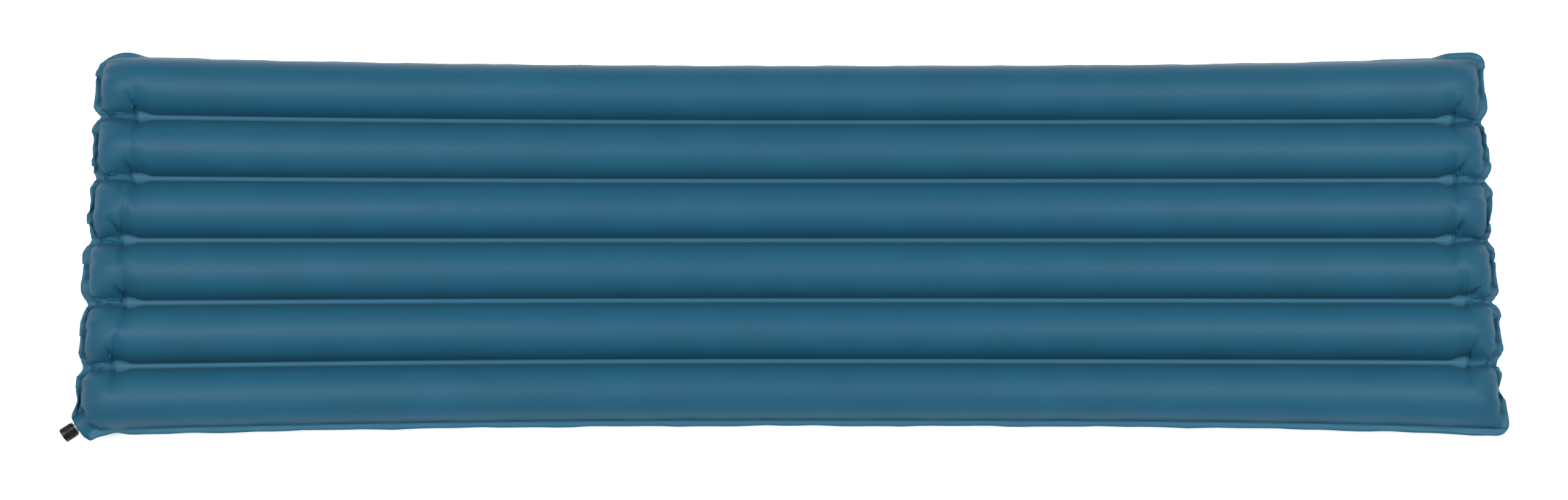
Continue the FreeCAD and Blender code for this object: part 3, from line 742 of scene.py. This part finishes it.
# %% [markdown]
# ## The two sheets
# Each sheet is the grid with its quads, given its real thickness outwards by Solidify, so the two
# meet face to face in every weld and their cut edges show as a real edge.

# %% The sheets
def make_sheet(name, node, points, faces_down):
    """One fabric sheet from its grid, with the flat cut as its UV map and its welds marked."""
    index = np.arange(points.shape[0] * points.shape[1]).reshape(points.shape[:2])
    quads = quads_of(index)
    if faces_down:
        quads = quads[:, ::-1]
    mesh = bpy.data.meshes.new(name)
    mesh.from_pydata(points.reshape(-1, 3).tolist(), [], quads.tolist())
    mesh.polygons.foreach_set("use_smooth", np.ones(len(quads), bool))
    corner = np.empty(len(mesh.loops), np.int32)
    mesh.loops.foreach_get("vertex_index", corner)
    layer = mesh.uv_layers.new(name="flat_cut")
    layer.data.foreach_set("uv", flat_place.reshape(-1, 2)[corner].astype(np.float32).ravel())
    mark = mesh.attributes.new("weld", "FLOAT", "POINT")
    mark.data.foreach_set("value", welded.astype(np.float32).ravel())
    mesh.materials.append(FABRIC_FINISH)
    sheet = bpy.data.objects.new(name, mesh)
    bpy.context.collection.objects.link(sheet)
    wall = sheet.modifiers.new("thickness", "SOLIDIFY")
    wall.thickness = FABRIC
    wall.offset = 1
    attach(sheet, "mattress")
    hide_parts(node)
    print(name, len(quads), "quads")
    return sheet


make_sheet("top_fabric", "top_sheet", upper, False)
make_sheet("bottom_fabric", "bottom_sheet", lower, True)

# %% [markdown]
# ## The valve's finishes
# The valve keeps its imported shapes. Knob, stem and plug are moulded ABS, black with a fine spark
# grain that spreads the highlight. The foot is clear TPU gone slightly grey, and the two seals are
# matt EPDM rubber.

# %% Moulded and rubber finishes
def grained(name, dark, light, grain_mm, depth_mm, **sockets):
    """A moulded surface: two close colours in a slow cloud, and a fine grain in the bump."""
    material, shader = new_material(name, **sockets)
    link = material.node_tree.links.new
    place = add(material, "ShaderNodeTexCoord")
    cloud = add(material, "ShaderNodeTexNoise", values={"Scale": 1 / (6 * MM), "Detail": 3},
                links={"Vector": place.outputs["Object"]})
    tint = add(material, "ShaderNodeMix", {"data_type": "RGBA"},
               values={"A": linear(dark), "B": linear(light)},
               links={"Factor": cloud.outputs["Fac"]})
    grain = add(material, "ShaderNodeTexNoise", values={"Scale": 1 / (grain_mm * MM), "Detail": 2},
                links={"Vector": place.outputs["Object"]})
    bump = add(material, "ShaderNodeBump", values={"Strength": 0.5, "Distance": depth_mm * MM},
               links={"Height": grain.outputs["Fac"]})
    link(tint.outputs["Result"], shader.inputs["Base Color"])
    link(bump.outputs["Normal"], shader.inputs["Normal"])
    return material


black_abs = grained("moulded_abs", "#060607", "#0B0A0A", 0.4, 0.05, Roughness=0.34, IOR=1.54,
                    Specular_IOR_Level=0.2)
clear_tpu = grained("clear_tpu", "#A9B2B4", "#C3CACB", 1.0, 0.03, Roughness=0.3, IOR=1.5,
                    Transmission_Weight=0.5)
epdm = grained("epdm_rubber", "#18181A", "#222224", 0.3, 0.04, Roughness=0.75, IOR=1.52)

FINISHES = {
    "valve_knob": black_abs, "valve_stem": black_abs, "valve_plug": black_abs,
    "weld_fitting": clear_tpu, "stem_ring": epdm, "seat_ring": epdm,
}
for node, finish in FINISHES.items():
    for slot in frame["nodes"][node].material_slots:
        slot.material = finish
    print(node, "->", finish.name)

# %% [markdown]
# ## Floor and light
# A plain white floor and large soft lights from above, as in a studio. The floor is a light table,
# so the mat hardly has a shadow. The two lamps are almost overhead, so each tube has its highlight
# along the crown and its sides fall off towards the seams.

# %% The floor
FLOOR_REACH = 30.0
FLOOR_GLOW = 0.55


def white_floor():
    """A square of opal acrylic under the mat, larger than any view of it, lit a little."""
    mesh = bpy.data.meshes.new("floor")
    corners = ((-1, -1), (1, -1), (1, 1), (-1, 1))
    square = [(x * FLOOR_REACH, y * FLOOR_REACH, 0) for x, y in corners]
    mesh.from_pydata(square, [], [(0, 1, 2, 3)])
    material, shader = new_material("opal_acrylic", Roughness=0.9, Emission_Strength=FLOOR_GLOW)
    place = add(material, "ShaderNodeTexCoord")
    cloud = add(material, "ShaderNodeTexNoise", values={"Scale": 0.8},
                links={"Vector": place.outputs["Object"]})
    tint = add(material, "ShaderNodeMix", {"data_type": "RGBA"},
               values={"A": linear("#F4F4F4"), "B": linear("#F7F7F7")},
               links={"Factor": cloud.outputs["Fac"]})
    material.node_tree.links.new(tint.outputs["Result"], shader.inputs["Base Color"])
    mesh.materials.append(material)
    floor = bpy.data.objects.new("floor", mesh)
    bpy.context.collection.objects.link(floor)


white_floor()
print("floor: %.0f m square" % (2 * FLOOR_REACH))

# %% The lights
LAMP_APART = 1.6
LAMP_NEAR = -0.1
LAMP_HEIGHT = 2.6
LAMP_SIZE = (1.6, 1.4)
LAMP_POWER = 68
SKY = 0.42


def soft_light(name, place, size, power):
    """A rectangular lamp at this place, facing the middle of the mat."""
    lamp = bpy.data.lights.new(name, "AREA")
    lamp.shape = "RECTANGLE"
    lamp.size, lamp.size_y = size
    lamp.energy = power
    light = bpy.data.objects.new(name, lamp)
    light.location = place
    light.rotation_euler = (-Vector(place)).to_track_quat("-Z", "Y").to_euler()
    bpy.context.collection.objects.link(light)


for name, side in (("overhead_left", -1), ("overhead_right", 1)):
    soft_light(name, (side * LAMP_APART, LAMP_NEAR, LAMP_HEIGHT), LAMP_SIZE, LAMP_POWER)
world = bpy.data.worlds.new("studio")
bpy.context.scene.world = world
world.use_nodes = True
world.node_tree.nodes["Background"].inputs["Color"].default_value = (1, 1, 1, 1)
world.node_tree.nodes["Background"].inputs["Strength"].default_value = SKY
bpy.context.scene.view_settings.view_transform = "Standard"
print("two lamps of", LAMP_POWER, "W")

# %% [markdown]
# ## The camera
# It looks down from the long side that the valve is on, 76 degrees above the floor.

# %% The camera
DISTANCE = 3.56
ELEVATION = math.radians(76)
LOOK_AT = Vector((-0.008, -0.013, WELD_Z))
LENS = 60.6
SENSOR = 36

camera = bpy.data.objects.new("camera", bpy.data.cameras.new("camera"))
camera.data.lens = LENS
camera.data.sensor_width = SENSOR
back = Vector((0, -math.cos(ELEVATION), math.sin(ELEVATION)))
camera.location = LOOK_AT + DISTANCE * back
camera.rotation_euler = (-back).to_track_quat("-Z", "Y").to_euler()
bpy.context.collection.objects.link(camera)
bpy.context.scene.camera = camera
print("camera:", camera.location)
